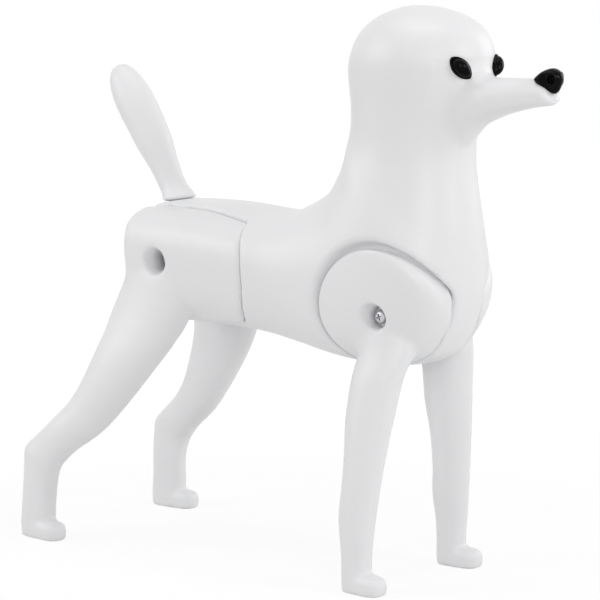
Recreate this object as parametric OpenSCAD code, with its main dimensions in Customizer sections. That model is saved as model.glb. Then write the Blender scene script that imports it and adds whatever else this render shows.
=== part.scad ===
// Jointed model dog: a hollow moulded body in two halves, four legs that swing on screws,
// and a tail that turns on a peg. +X is the dog's front, +Y its left, and the soles stand on Z = 0.

/* [Trunk] */
// Length from the hind heels to the tip of the nose
overall_l = 434; // [422:1:446]
// Height of the back above the floor
back_z = 253.5; // [248:0.5:260]
// Height of the belly between the hips
belly_z = 166; // [160:1:172]
// Height of the underside of the chest
chest_z = 148; // [144:1:152]
// Front of the chest, ahead of the middle
chest_x = 145.5; // [142:0.5:149]
// Back end of the rump, behind the middle
rump_x = 139.5; // [136:0.5:143]
// Rounding of the rump's back end
rump_r = 22; // [18:1:25]
// Width of the trunk over the ribs
trunk_w = 102; // [96:1:108]
// Thickness of the moulded walls
wall = 3; // [2.5:0.1:3.5]

/* [Neck and head] */
// Height of the top of the head
head_top_z = 400; // [392:1:408]
// Back of the neck, ahead of the middle
nape_x = 47; // [43:1:51]
// Front of the neck, ahead of the middle
throat_x = 138; // [134:1:142]
// Width of the neck
neck_w = 80; // [74:1:86]
// Width of the head
head_w = 94; // [88:1:100]
// Forehead, ahead of the middle
brow_x = 152.5; // [149:0.5:156]
// Depth of the jaw's root below the top of the head
jaw_z = 82; // [78:1:86]

/* [Muzzle] */
// Depth of the muzzle's top line below the top of the head
muzzle_z = 46; // [42:1:50]
// Height of the muzzle behind the nose
muzzle_h = 18; // [16:0.5:20]
// Width of the muzzle behind the nose
muzzle_w = 25; // [22:0.5:28]
// Length of the nose ahead of the muzzle
nose_reach = 5; // [3:0.5:6]
// Width of the nose
nose_w = 20; // [17:0.5:22]
// Height of the nose
nose_h = 16; // [14:0.5:18]
// Length of the nose
nose_l = 15; // [13:0.5:17]

/* [Eyes] */
// Long side of an eye
eye_l = 21; // [18:0.5:23]
// Short side of an eye
eye_w = 12.5; // [10:0.5:14]
// Height of the eye's dome
eye_h = 5; // [3:0.5:6]
// Thickness of the eye's rim
eye_rim_t = 1.6; // [1.2:0.1:2]
// Distance from one eye's middle to the other's
eye_gap = 39; // [36:1:42]
// Depth of the eyes below the top of the head
eye_z = 40; // [36:1:44]
// Turn of each eye away from straight ahead
eye_turn = 30; // [25:1:35]
// Slant of the eye's long side
eye_slant = 44; // [35:1:55]

/* [Shoulders] */
// Shoulder pivot, ahead of the middle
shoulder_x = 96.5; // [94:0.5:99]
// Height of the shoulder pivots
shoulder_z = 190; // [187:0.5:193]
// Diameter of the round top of a front leg
shoulder_d = 91; // [87:1:95]
// Distance of the shoulder recess's floor from the middle
shoulder_floor_y = 16; // [14:0.5:18]

/* [Hips] */
// Hip pivot, behind the middle
hip_x = 102; // [99:0.5:105]
// Height of the hip pivots
hip_z = 213; // [210:0.5:216]
// Radius of the hip plate's front edge about its pivot
hip_r = 80; // [77:0.5:83]
// Width of the saddle at the hip plates' front edges
saddle_w = 64; // [60:1:68]
// Width of the saddle at the hip pivots, where its dished sides come closest
dish_w = 30; // [29:1:33]
// Distance of the hip recess's floor from the middle
hip_floor_y = 13; // [11:0.5:14]
// Diameter of the hub on the inside of a hip plate
hip_hub_d = 44; // [40:1:48]
// Rounding of a hip plate's back end
plate_r = 14; // [11:1:17]
// Step from the saddle down to the hip plate's top edge
plate_step = 1; // [0.5:0.5:3]

/* [Legs] */
// Distance of a front foot's middle from the dog's middle
front_foot_y = 54; // [52:0.5:56]
// Heel of the front feet, ahead of the middle
front_heel_x = 78; // [74:1:82]
// Distance of a hind foot's middle from the dog's middle
hind_foot_y = 72; // [68:0.5:76]
// Height of the hocks
hock_z = 66; // [62:1:70]
// Length of a front foot
front_foot_l = 34; // [31:0.5:37]
// Length of a hind foot
hind_foot_l = 40; // [37:0.5:43]
// Width of a foot
foot_w = 18.5; // [17:0.5:20]
// Height of a foot's instep
foot_h = 14; // [12:0.5:16]
// Turn of the toes away from straight ahead
toe_turn = 4; // [0:1:10]

/* [Pivots] */
// Diameter of a pivot boss
boss_d = 18; // [16:0.5:20]
// Length of a pivot boss
boss_l = 14; // [13:0.5:15]
// Radial running clearance of a leg on its boss
pivot_gap = 0.05; // [0.03:0.01:0.1]
// Gap between faces that slide past each other
face_gap = 0.4; // [0.3:0.1:0.6]
// Gap round the edge of a moving plate
rim_gap = 1; // [0.7:0.1:1.5]
// Wall round a leg's bore
hub_wall = 4; // [3:0.5:5]
// Web that a screw clamps
web_t = 5; // [4:0.5:6]
// Diameter of the recess for the screwdriver
driver_d = 18; // [17:0.5:19]

/* [Fasteners] */
// Screw thread diameter
screw_d = 5; // [4:0.5:6]
// Screw length under the head
screw_l = 24; // [22:1:25]
// Screw head diameter
screw_head_d = 9.5; // [9:0.5:11]
// Screw head height
screw_head_h = 3.6; // [3:0.1:4]
// Washer diameter
washer_d = 12; // [11.5:0.5:13]
// Washer thickness
washer_t = 1; // [0.8:0.1:1.2]
// Threaded insert diameter
insert_d = 8; // [7.5:0.5:9]
// Threaded insert length
insert_l = 11; // [9:0.5:12]
// Dowel diameter
dowel_d = 4; // [3:0.5:5]
// Dowel length
dowel_l = 12; // [10:1:14]

/* [Tail] */
// Tail's foot, behind the middle
tail_x = 123; // [120:0.5:125]
// Depth of the flat seat under the tail's foot
tail_seat_t = 1.5; // [1:0.1:2]
// Length of the tail
tail_l = 114; // [105:1:118]
// Widest diameter of the tail
tail_d = 31; // [28:0.5:33]
// Diameter of the tail's flared foot
tail_foot_d = 25; // [24:0.5:27]
// Lean of the tail, backwards from upright
tail_lean = 33; // [27:1:37]
// Lean of the tail's peg
peg_lean = 10; // [6:1:12]
// Diameter of the tail's peg
peg_d = 8; // [7:0.5:9]
// Length of the peg below the tail
peg_l = 20; // [17:0.5:22]
// Length of the peg inside the tail
peg_grip = 14; // [10:0.5:16]
// Wall of the bush that holds the peg
bush_wall = 2.5; // [2:0.5:3]
// Thickness of the bush's collar
bush_collar_t = 1.2; // [1:0.1:1.6]

/* [Retainers] */
// Diameter of the stems behind the eyes and the nose
stem_d = 4; // [3.5:0.5:5]
// Clearance round a stem and round an eye in its seat
seat_gap = 0.2; // [0.1:0.05:0.3]
// Diameter of a retainer
retainer_d = 11; // [10:0.5:12]
// Thickness of a retainer
retainer_t = 1.5; // [1.2:0.1:2]
// Depth of the pad behind an eye or the nose
pad_t = 5; // [4:0.5:6]

/* [Hidden] */

$fn = 64;
far = 600;
nose_x = overall_l / 2;
heel_x = overall_l / 2;
muzzle_x = nose_x - nose_reach;
shoulder_r = shoulder_d / 2;
hip_hub_r = hip_hub_d / 2;
saddle_y = saddle_w / 2;
hub_r = boss_d / 2 + pivot_gap + hub_wall;
screw_gap = 0.4;
slip = 0.02;
sole_t = 2 * wall;
pad_r = retainer_d / 2 + 1.5;

// Heights of a pivot's stack above its floor
spring_t = 1.2 * washer_t;
web_in = boss_l + face_gap;
web_out = web_in + web_t;
head_z = web_out + slip + washer_t + spring_t;
cross_l = 0.6 * screw_head_d;
cross_w = 0.13 * screw_head_d;
cross_depth = 0.55 * screw_head_h;
spring_slit = washer_t;
mouth_t = 1.2;
shoulder_mouth_y = trunk_w / 2 - 1.5;
hip_mouth_y = trunk_w / 2 + 5;
rim_w = 3.5;
rim_t = 2.5;

// Places in the head, as heights above the floor, and of the nose
jaw_height = head_top_z - jaw_z;
bridge_height = head_top_z - muzzle_z;
eye_height = head_top_z - eye_z;
head_x = (nape_x + brow_x) / 2;
eye_x = head_x + (brow_x - nape_x) / 2 * sqrt(1 - pow(eye_gap / head_w, 2)) - 1;
eye_rim_w = 1.2;
nose_z = bridge_height - 1;
nose_stem_z = nose_z - 3.5;
nose_stem_l = 6;

// Tail bush
bush_r = peg_d / 2 + pivot_gap + bush_wall;
collar_r = bush_r + 2;
collar_z = -face_gap - bush_collar_t;
vent_d = 2;
tail_z = back_z - tail_seat_t + face_gap;

// Heights up the nape and the throat, as shares of the rise from the back and from the chest
function nape_z(share) = back_z + share * (head_top_z - back_z);
function throat_z(share) = chest_z + share * (jaw_height - chest_z);

// Sections of the trunk, neck and head: dorsal x and z, ventral x and z, y, half width, squareness,
// and how much wider the section is above than below
function rump_keys(r, square) = [
  for (a = [0, 25, 55, 90])
    let (in = r * (1 - sin(a)), x = -rump_x + r * (1 - cos(a)))
    [x, back_z - in - 0.5, x, belly_z + in, 0, trunk_w / 2 - in, square, 0.08]
];
waist_keys = [
  [-hip_x + 30, back_z + 0.5, -hip_x + 30, belly_z, 0, trunk_w / 2, 2.5, 0.06],
  [-hip_x + 76, back_z - 2, -hip_x + 78, belly_z - 2, 0, trunk_w / 2 - 0.5, 2.4, 0.03],
  [nape_x - 49, back_z + 0.7, chest_x - 138, chest_z + 11, 0, trunk_w / 2 - 0.5, 2.25, 0],
  [nape_x - 28, back_z + 9.5, chest_x - 100, chest_z + 5, 0, trunk_w / 2, 2.35, 0]
];
chest_keys = [
  [nape_x - 11.5, nape_z(0.137), chest_x - 60, throat_z(0.009), 0, trunk_w / 2 + 0.5, 2.35, 0],
  [nape_x - 3, nape_z(0.218), chest_x - 24, throat_z(0.041), 0, trunk_w / 2 + 0.5, 2.45, 0],
  [nape_x + 1.5, nape_z(0.3), chest_x - 5, throat_z(0.176), 0, trunk_w / 2 - 1, 2.4, 0],
  [nape_x + 3, nape_z(0.375), chest_x, throat_z(0.341), 0, (trunk_w + neck_w) / 4 + 2, 2.35, 0],
  [nape_x + 3, nape_z(0.444), chest_x - 1, throat_z(0.518), 0, neck_w / 2 + 2.5, 2.2, 0]
];
neck_keys = [
  [nape_x + 2.5, nape_z(0.505), throat_x + 3, throat_z(0.694), 0, neck_w / 2, 2.1, 0],
  [nape_x + 2, nape_z(0.563), throat_x, throat_z(0.847), 0, neck_w / 2, 2.05, 0],
  [nape_x + 1, nape_z(0.625), throat_x + 2, jaw_height, 0, neck_w / 2 + 2, 2, 0]
];
head_keys = [
  [nape_x + 0.5, nape_z(0.693), brow_x - 3, head_top_z - 56, 0, head_w / 2 - 1.5, 2, 0],
  [nape_x + 3, nape_z(0.775), brow_x, head_top_z - 36, 0, head_w / 2, 2, 0],
  [nape_x + 10, nape_z(0.87), brow_x - 6, head_top_z - 18, 0, head_w / 2 - 5, 2, 0],
  [nape_x + 22, nape_z(0.942), brow_x - 20, head_top_z - 7.5, 0, head_w / 2 - 16, 2, 0],
  [nape_x + 37, nape_z(0.986), brow_x - 37, head_top_z - 1.8, 0, head_w / 2 - 31, 2, 0],
  [nape_x + 47, head_top_z, brow_x - 50, head_top_z, 0, 4, 2, 0]
];
trunk_keys = concat(rump_keys(rump_r, 3), waist_keys, chest_keys, neck_keys, head_keys);

// Sections that a hip plate is cut from, with a fuller back end
plate_keys = concat(rump_keys(plate_r, 3.2), waist_keys, chest_keys);

// Sections of the muzzle, from inside the head to its tip
muzzle_low = bridge_height - muzzle_h;
muzzle_keys = [
  [throat_x - 34, bridge_height + 2, throat_x - 34, jaw_height - 4, 0, 16, 2, 0.2],
  [throat_x - 11, bridge_height + 3, throat_x - 8, jaw_height - 9, 0, 18, 2, 0.2],
  [throat_x + 1, bridge_height + 3, throat_x + 2, jaw_height - 11, 0, 19, 2.1, 0.2],
  [throat_x + 8, bridge_height + 2, throat_x + 8, jaw_height - 6, 0, 19.5, 2.1, 0.2],
  [throat_x + 14, bridge_height + 0.5, throat_x + 14, jaw_height - 1.5, 0, 19, 2.1, 0.15],
  [throat_x + 22, bridge_height - 0.5, throat_x + 22, jaw_height + 2.5, 0, muzzle_w / 2 + 5.5, 2.1, 0.1],
  [muzzle_x - 38, bridge_height - 0.5, muzzle_x - 38, muzzle_low - 9.5, 0, muzzle_w / 2 + 3.5, 2.2, 0.05],
  [muzzle_x - 16, bridge_height, muzzle_x - 16, muzzle_low - 2.5, 0, muzzle_w / 2, 2.3, 0],
  [muzzle_x - 7, bridge_height - 1, muzzle_x - 6, muzzle_low, 0, muzzle_w / 2 - 1, 2.2, 0],
  [muzzle_x - 2, bridge_height - 3, muzzle_x - 1.5, muzzle_low + 2, 0, muzzle_w / 2 - 3.5, 2.1, 0],
  [muzzle_x, bridge_height - 6, muzzle_x, muzzle_low + 5, 0, muzzle_w / 2 - 7, 2, 0]
];

// Sections of a front leg, downwards: front x and z, rear x and z, y, half width, squareness
front_leg_keys = [
  [shoulder_x + 18, shoulder_z - 2, shoulder_x - 18, shoulder_z - 2, 32, 12, 2],
  [shoulder_x + 22.5, shoulder_z - 24, shoulder_x - 21, shoulder_z - 26, 35.5, 14.5, 2],
  [shoulder_x + 18, shoulder_z - 40, shoulder_x - 22, shoulder_z - 43, 39.5, 15.5, 2],
  [front_heel_x + 32, 122, front_heel_x - 4.5, 120, front_foot_y - 9.5, 14.6, 2],
  [front_heel_x + 28.5, 97, front_heel_x - 2.5, 96, front_foot_y - 5.5, 13.6, 2],
  [front_heel_x + 25.5, 72, front_heel_x - 2.5, 72, front_foot_y - 2.5, 12.7, 2],
  [front_heel_x + 23.5, 52, front_heel_x - 4, 53, front_foot_y - 1, 12, 2],
  [front_heel_x + 22, 36, front_heel_x - 2, 36, front_foot_y, 10, 2],
  [front_heel_x + 20.5, 22, front_heel_x - 0.5, 22, front_foot_y, foot_w / 2, 2],
  [front_heel_x + 20, 8, front_heel_x, 8, front_foot_y, foot_w / 2, 2.2],
  [front_heel_x + 19, -4, front_heel_x + 1, -4, front_foot_y, foot_w / 2 - 0.5, 2.2]
];

// Sections of a hind leg, downwards
hind_leg_keys = [
  [-hip_x + 22, hip_z + 12, -hip_x - 28, hip_z + 16, 40, 9.5, 2],
  [-hip_x + 27, hip_z - 14, -hip_x - 37, hip_z - 12, 40, 13, 2],
  [-hip_x + 21, hip_z - 44, -hip_x - 48.5, hip_z - 38, 41.5, 16, 2],
  [-hip_x - 4, hip_z - 82, -hip_x - 51.5, hip_z - 62, 52, 15.3, 2],
  [-heel_x + 74.5, hock_z + 22, -heel_x + 46.5, hock_z + 46, hind_foot_y - 11, 13.6, 2],
  [-heel_x + 50, hock_z + 3, -heel_x + 30, hock_z + 26, hind_foot_y - 4.5, 12, 2],
  [-heel_x + 35, hock_z - 12, -heel_x + 5, hock_z + 3, hind_foot_y - 1, 10.5, 2],
  [-heel_x + 29.5, hock_z - 28, -heel_x + 2.2, hock_z - 21, hind_foot_y - 1, 10, 2],
  [-heel_x + 29, 22, -heel_x + 0.7, 22, hind_foot_y, foot_w / 2, 2],
  [-heel_x + 28, 8, -heel_x, 8, hind_foot_y, foot_w / 2, 2.2],
  [-heel_x + 27, -4, -heel_x + 1, -4, hind_foot_y, foot_w / 2 - 0.5, 2.2]
];

// Sections of a foot along its length, from a heel at X = 0: top and underside
function foot_keys(l) = [
  [7, foot_h - 2, 7, -4, 0, foot_w / 2 - 2, 2.4],
  [12, foot_h, 12, -4, 0, foot_w / 2, 2.6],
  [l - 9, foot_h - 0.5, l - 9, -4, 0, foot_w / 2, 2.6],
  [l - 3, foot_h - 2.5, l - 3, -4, 0, foot_w / 2 - 1.5, 2.4],
  [l, foot_h - 7, l, -3, 0, foot_w / 2 - 4, 2.2]
];

// Sections of the nose, forwards, wider above than below: distance behind its tip, height, width
nose_rows = [
  [nose_l, 0.75, 0.92],
  [nose_l - 3, 1, 1],
  [7, 0.97, 0.88],
  [3, 0.8, 0.62],
  [0.8, 0.5, 0.34],
  [0, 0.2, 0.15]
];
nose_keys = [
  for (row = nose_rows)
    let (x = nose_x - row[0], h = nose_h / 2 * row[1])
    [x, nose_z + h, x, nose_z - h, 0, nose_w / 2 * row[2], 2, 0.3]
];

// Places of the dowels between the body's halves, by their depth under the skin
dowel_in = dowel_d / 2 + 1.5 * wall;
dowel_points = [
  [-rump_x + rump_r + wall, belly_z + dowel_in],
  [-rump_x / 3, back_z - dowel_in],
  [(shoulder_x - shoulder_r + hip_r - hip_x) / 2, (belly_z + chest_z) / 2 + dowel_in],
  [chest_x - dowel_in, throat_z(0.435)],
  [nape_x + dowel_in, nape_z(0.464)],
  [head_x, head_top_z - dowel_in]
];

// Sections of the tail, upwards: distance along it, radius, tilt of the section
tail_rows = [
  [0, tail_foot_d / 2, peg_lean],
  [4, tail_foot_d / 2 - 1.2, (peg_lean + tail_lean) / 2],
  [14, tail_foot_d / 2 - 1.6, tail_lean],
  [30, tail_foot_d / 2 - 0.4, tail_lean],
  [48, tail_d / 2 - 1.4, tail_lean],
  [tail_l - 48, tail_d / 2, tail_lean],
  [tail_l - 32, tail_d / 2 - 0.3, tail_lean],
  [tail_l - 18, tail_d / 2 - 2.6, tail_lean],
  [tail_l - 8, tail_d / 2 - 6.2, tail_lean],
  [tail_l - 2, tail_d / 2 - 10.5, tail_lean],
  [tail_l, tail_d / 2 - 13.5, tail_lean]
];
tail_keys = [
  for (row = tail_rows)
    let (
      x = -tail_x - row[0] * sin(tail_lean),
      z = tail_z + row[0] * cos(tail_lean),
      c = row[1] * cos(row[2]),
      s = row[1] * sin(row[2])
    )
    [x - c, z - s, x + c, z + s, 0, row[1], 2]
];

function signed_power(v, p) = sign(v) * pow(abs(v), p);

// Points round one section, drawn in by inset
function ring(key, inset, sides) =
  let (
    middle = [key[0] + key[2], key[1] + key[3]] / 2,
    arm = [key[0] - key[2], key[1] - key[3]] / 2,
    reach = arm * max(norm(arm) - inset, 0.5) / norm(arm),
    half = max(key[5] - inset, 0.5),
    power = 2 / key[6],
    taper = is_undef(key[7]) ? 0 : key[7]
  )
  [
    for (i = [0 : sides - 1])
      let (
        a = 360 * i / sides,
        u = signed_power(cos(a), power),
        v = signed_power(sin(a), power) * (1 + taper * u)
      )
      [middle.x + reach.x * u, key[4] + half * v, middle.y + reach.y * u]
  ];

// A smooth curve through b and c
function between(a, b, c, d, t) =
  b + 0.5 * t * (c - a + t * (2 * a - 5 * b + 4 * c - d + t * (3 * (b - c) + d - a)));

function eased(keys, steps) = [
  for (i = [0 : len(keys) - 2], s = [0 : steps - 1])
    between(keys[max(i - 1, 0)], keys[i], keys[i + 1], keys[min(i + 2, len(keys) - 1)], s / steps),
  keys[len(keys) - 1]
];

// A closed form through rings of equally many points
module loft(rings) {
  sides = len(rings[0]);
  last = (len(rings) - 1) * sides;
  strips = [
    for (j = [0 : len(rings) - 2], i = [0 : sides - 1])
      let (a = j * sides + i, b = j * sides + (i + 1) % sides)
      each [[a, b, a + sides], [b, b + sides, a + sides]]
  ];
  start_cap = [for (i = [sides - 1 : -1 : 0]) i];
  end_cap = [for (i = [0 : sides - 1]) last + i];
  polyhedron([for (r = rings) each r], concat(strips, [start_cap, end_cap]));
}

module form(keys, sides = 24, steps = 2) {
  loft([for (key = eased(keys, steps)) ring(key, 0, sides)]);
}

// The space inside a form's walls
module hollow(keys, inset = wall, sides = 20) {
  loft([for (key = keys) ring(key, inset, sides)]);
}

// One closed skin over everything inside it
module skin() {
  $fn = 40;
  resize([0, 0, 0])
    union()
      children();
}

module on_side(side) {
  mirror([0, side < 0 ? 1 : 0, 0])
    children();
}

// Stands children on a pivot's axis, with their height measured out from the dog's middle
module at_shoulder(side) {
  on_side(side)
    translate([shoulder_x, 0, shoulder_z])
      rotate([-90, 0, 0])
        children();
}

module at_hip(side) {
  on_side(side)
    translate([-hip_x, 0, hip_z])
      rotate([-90, 0, 0])
        children();
}

// Stands children on an eye's seat, with the long side of the eye along X
module at_eye(side) {
  on_side(side)
    translate([eye_x, eye_gap / 2, eye_height])
      rotate([0, 0, eye_turn])
        rotate([0, 90, 0])
          rotate([0, 0, eye_slant - 90])
            children();
}

module at_tail() {
  translate([-tail_x, 0, tail_z])
    rotate([0, -peg_lean, 0])
      children();
}

module bar(r, from, to) {
  translate([0, 0, from])
    cylinder(r = r, h = to - from);
}

module tube(outer, inner, from, to) {
  difference() {
    bar(outer, from, to);
    bar(inner, from - 1, to + 1);
  }
}

module above(z) {
  translate([-far, -far, z])
    cube([2 * far, 2 * far, far]);
}

module outside(y) {
  translate([-far, y, -far])
    cube([2 * far, far, 2 * far]);
}

// Body halves

module body_form() {
  form(trunk_keys, 36);
  form(muzzle_keys);
}

// The space inside the trunk, closed at the rump and the top of the head
module trunk_hollow() {
  intersection() {
    hollow(trunk_keys, wall, 24);
    translate([-rump_x + wall, -far, 0])
      cube([2 * far, 2 * far, head_top_z - wall]);
  }
}

module body_hollow() {
  difference() {
    union() {
      trunk_hollow();
      intersection() {
        hollow(muzzle_keys);
        translate([-far, -far, 0])
          cube([far + muzzle_x - nose_l - pad_t, 2 * far, far]);
      }
    }
    for (side = [-1, 1]) {
      at_shoulder(side)
        bar(shoulder_r + rim_gap + wall, shoulder_floor_y - wall, far);
      at_hip(side)
        hip_dish(hip_r + rim_gap + wall, -wall);
      at_hip(side)
        bar(hip_hub_r + rim_gap + wall, hip_floor_y - wall, far);
      at_eye(side)
        bar(pad_r, -pad_t, eye_h);
    }
    at_tail()
      bar(bush_r + wall, -peg_l - wall, peg_l);
    at_dowels()
      bar(dowel_d / 2 + wall, -dowel_l / 2 - wall, dowel_l / 2 + wall);
  }
}

// The space outside a dished side of the saddle, about a hip's axis, moved out by shift
module hip_dish(r, shift) {
  rotate_extrude()
    polygon([[0, dish_w / 2 + shift], [r, saddle_y + shift], [r, far], [0, far]]);
}

// Recesses for the legs, with a rounded-off rim round the shoulders
module leg_recesses() {
  for (side = [-1, 1]) {
    at_shoulder(side)
      bar(shoulder_r + rim_gap, shoulder_floor_y, far);
    difference() {
      at_shoulder(side)
        bar(shoulder_r + rim_gap + rim_w, shoulder_floor_y, far);
      hollow(eased(trunk_keys, 2), rim_t, 36);
    }
    at_hip(side)
      hip_dish(hip_r + rim_gap, 0);
    at_hip(side)
      bar(hip_hub_r + rim_gap, hip_floor_y, far);
  }
}

// Flat seat for the tail's foot
module tail_seat() {
  at_tail()
    bar(tail_foot_d / 2 + rim_gap, -face_gap, far);
}

module at_dowels() {
  for (p = dowel_points)
    translate([p.x, 0, p.y])
      rotate([-90, 0, 0])
        children();
}

module body_shell(side) {
  color("white")
    difference() {
      union() {
        skin()
          intersection() {
            difference() {
              body_form();
              body_hollow();
              leg_recesses();
              tail_seat();
              nose_seat();
              for (each_side = [-1, 1])
                at_eye(each_side)
                  linear_extrude(far)
                    polygon(eye_outline(seat_gap));
            }
            on_side(side)
              outside(0);
          }
        at_shoulder(side)
          bar(boss_d / 2, shoulder_floor_y - wall / 2, shoulder_floor_y + boss_l);
        at_hip(side)
          bar(boss_d / 2, hip_floor_y - wall / 2, hip_floor_y + boss_l);
      }
      at_shoulder(side)
        insert_hole(shoulder_floor_y);
      at_hip(side)
        insert_hole(hip_floor_y);
      at_eye(side)
        bar(stem_d / 2 + seat_gap, -pad_t - 1, 1);
      at_tail() {
        bar(bush_r, -peg_l - 2 * wall, peg_l);
        bar(collar_r + seat_gap, collar_z, peg_l);
      }
      at_nose_stem()
        bar(stem_d / 2 + seat_gap, -nose_stem_l - seat_gap, 1);
      at_dowels()
        bar(dowel_d / 2 + slip, -dowel_l / 2 - slip, dowel_l / 2 + slip);
    }
}

module insert_hole(floor_y) {
  bar(insert_d / 2 + slip, floor_y + boss_l - insert_l, floor_y + boss_l + 1);
  bar(screw_d / 2 + screw_gap, floor_y - 2 * wall, floor_y + boss_l);
}

module body_shell_right() {
  body_shell(-1);
}

module body_shell_left() {
  body_shell(1);
}

// Legs

// Bores of a leg round its boss and its screw, out to a widened mouth
module leg_bores(floor_y, mouth_y) {
  bar(boss_d / 2 + pivot_gap, floor_y - 1, floor_y + web_in);
  bar(screw_d / 2 + screw_gap, floor_y, floor_y + web_out + 1);
  bar(driver_d / 2, floor_y + web_out, mouth_y + far);
  translate([0, 0, mouth_y - mouth_t])
    cylinder(r1 = driver_d / 2, r2 = driver_d / 2 + 2 * mouth_t, h = 2 * mouth_t);
}

// A foot of length l whose heel stands at x and y
module foot(x, y, l) {
  translate([x + foot_w / 2, y, 0])
    rotate([0, 0, toe_turn])
      translate([-foot_w / 2, 0, 0])
        form(foot_keys(l), 20);
}

module front_leg_form() {
  intersection() {
    union() {
      intersection() {
        form(trunk_keys, 36);
        at_shoulder(1)
          bar(shoulder_r, shoulder_floor_y + face_gap, far);
      }
      form(front_leg_keys);
      foot(front_heel_x, front_foot_y, front_foot_l);
    }
    above(0);
  }
}

module front_leg_hollow() {
  difference() {
    intersection() {
      union() {
        intersection() {
          trunk_hollow();
          at_shoulder(1)
            bar(shoulder_r - wall, shoulder_floor_y + face_gap + wall, far);
        }
        hollow(front_leg_keys, wall, 16);
      }
      above(sole_t);
    }
    at_shoulder(1)
      bar(hub_r, 0, far);
  }
}

module front_leg(side) {
  color("white")
    difference() {
      skin()
        on_side(side)
          front_leg_form();
      skin()
        on_side(side)
          front_leg_hollow();
      at_shoulder(side)
        leg_bores(shoulder_floor_y, shoulder_mouth_y);
    }
}

module front_leg_right() {
  front_leg(-1);
}

module front_leg_left() {
  front_leg(1);
}

module hind_leg_form() {
  intersection() {
    union() {
      intersection() {
        translate([0, 0, -plate_step])
          form(plate_keys, 36);
        at_hip(1)
          hip_dish(hip_r, face_gap);
      }
      at_hip(1)
        bar(hip_hub_r, hip_floor_y + face_gap, saddle_y + wall);
      intersection() {
        form(hind_leg_keys);
        outside(saddle_y + face_gap);
      }
      foot(-heel_x, hind_foot_y, hind_foot_l);
    }
    above(0);
  }
}

module hind_leg_hollow() {
  difference() {
    intersection() {
      union() {
        intersection() {
          translate([0, 0, -plate_step])
            intersection() {
              hollow(plate_keys, wall, 24);
              translate([-rump_x + wall, -far, 0])
                cube(2 * far);
            }
          at_hip(1)
            hip_dish(hip_r - wall, face_gap + wall);
        }
        intersection() {
          hollow(hind_leg_keys, wall, 16);
          outside(saddle_y + face_gap + wall);
        }
      }
      above(sole_t);
    }
    at_hip(1)
      bar(hub_r, 0, far);
  }
}

module hind_leg(side) {
  color("white")
    difference() {
      skin()
        on_side(side)
          hind_leg_form();
      skin()
        on_side(side)
          hind_leg_hollow();
      at_hip(side)
        leg_bores(hip_floor_y, hip_mouth_y);
    }
}

module hind_leg_right() {
  hind_leg(-1);
}

module hind_leg_left() {
  hind_leg(1);
}

// Tail

module tail() {
  color("white")
    difference() {
      skin()
        form(tail_keys);
      skin()
        difference() {
          hollow([for (i = [2 : len(tail_keys) - 3]) tail_keys[i]], wall, 16);
          at_tail()
            bar(tail_d, -far / 2, peg_grip + wall);
        }
      at_tail() {
        bar(peg_d / 2 + slip, -1, peg_grip);
        bar(vent_d / 2, 0, peg_grip + 2 * wall);
      }
    }
}

module tail_peg() {
  color("gainsboro")
    at_tail()
      bar(peg_d / 2, -peg_l, peg_grip - slip);
}

module tail_bush() {
  color("dimgray")
    at_tail()
      difference() {
        union() {
          bar(bush_r - slip, -peg_l, collar_z + bush_collar_t);
          bar(collar_r, collar_z, collar_z + bush_collar_t);
        }
        bar(peg_d / 2 + pivot_gap, -far, far);
      }
}

// Face

// An almond outline, grown all round by a clearance
function eye_outline(grow) = [
  for (i = [0 : 39])
    let (a = 9 * i)
    [(eye_l / 2 + grow) * cos(a), (eye_w / 2 + grow) * signed_power(sin(a), 1.3)]
];

module eye(side) {
  color("black")
    at_eye(side) {
      linear_extrude(eye_rim_t)
        polygon(eye_outline(0));
      loft([
        for (a = [0, 20, 40, 60, 75, 86])
          [for (p = eye_outline(-eye_rim_w)) [p.x * cos(a), -p.y * cos(a), eye_rim_t / 2 + eye_h * sin(a)]]
      ]);
      bar(stem_d / 2, -pad_t - retainer_t - slip, eye_rim_t);
    }
}

module eye_right() {
  eye(-1);
}

module eye_left() {
  eye(1);
}

module eye_retainer(side) {
  color("gainsboro")
    at_eye(side)
      tube(retainer_d / 2, stem_d / 2 + slip, -pad_t - retainer_t, -pad_t);
}

module eye_retainer_right() {
  eye_retainer(-1);
}

module eye_retainer_left() {
  eye_retainer(1);
}

module at_nose_stem() {
  translate([nose_x - nose_l, 0, nose_stem_z])
    rotate([0, 90, 0])
      children();
}

module nose_seat() {
  loft([for (key = eased(nose_keys, 2)) ring(key, -seat_gap, 24)]);
}

module nose() {
  color("black") {
    form(nose_keys);
    at_nose_stem()
      bar(stem_d / 2, -nose_stem_l, 3);
  }
}

// Fasteners

module at_each_pivot() {
  for (side = [-1, 1]) {
    at_shoulder(side)
      translate([0, 0, shoulder_floor_y])
        children();
    at_hip(side)
      translate([0, 0, hip_floor_y])
        children();
  }
}

// A pan-head screw with a cross recess, whose tip points to the dog's middle
module pivot_screw() {
  difference() {
    union() {
      bar(screw_d / 2, head_z - screw_l, head_z + 1);
      bar(screw_head_d / 2, head_z, head_z + screw_head_h);
    }
    for (turn = [0, 90])
      rotate([0, 0, turn])
        translate([-cross_l / 2, -cross_w / 2, head_z + screw_head_h - cross_depth])
          cube([cross_l, cross_w, screw_head_h]);
  }
}

module shoulder_screws() {
  color("silver")
    for (side = [-1, 1])
      at_shoulder(side)
        translate([0, 0, shoulder_floor_y])
          pivot_screw();
}

module hip_screws() {
  color("silver")
    for (side = [-1, 1])
      at_hip(side)
        translate([0, 0, hip_floor_y])
          pivot_screw();
}

module flat_washers() {
  color("silver")
    at_each_pivot()
      tube(washer_d / 2, screw_d / 2 + screw_gap / 2, web_out + slip, web_out + slip + washer_t);
}

module spring_washers() {
  color("silver")
    at_each_pivot()
      difference() {
        tube(screw_head_d / 2, screw_d / 2 + screw_gap / 2, head_z - spring_t, head_z);
        translate([0, -spring_slit / 2, 0])
          cube([far, spring_slit, far]);
      }
}

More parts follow.
